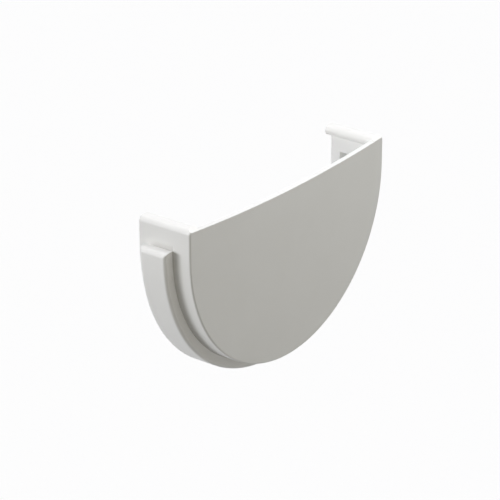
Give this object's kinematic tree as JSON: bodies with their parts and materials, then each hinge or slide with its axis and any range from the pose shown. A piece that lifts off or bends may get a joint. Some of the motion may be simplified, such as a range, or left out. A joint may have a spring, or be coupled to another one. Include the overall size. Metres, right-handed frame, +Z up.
{
  "type": "gutter end cap",
  "caption": "White moulded end cap for a half-round gutter: a flat plate with a push-on sleeve, an inward bead along each side and a raised band round the outside.",
  "frame": {"origin": "on the plate's inner face, where the gutter's end stops, at the centre of the half round", "axes": "+X across the gutter, to the right seen from outside; +Y out of the socket, along the gutter; +Z up"},
  "size_m": [0.135, 0.0248, 0.08],
  "materials": {
    "white_pvc": "satin"
  },
  "bodies": {
    "root": {"end_cap": "white_pvc"}
  },
  "joints": []
}
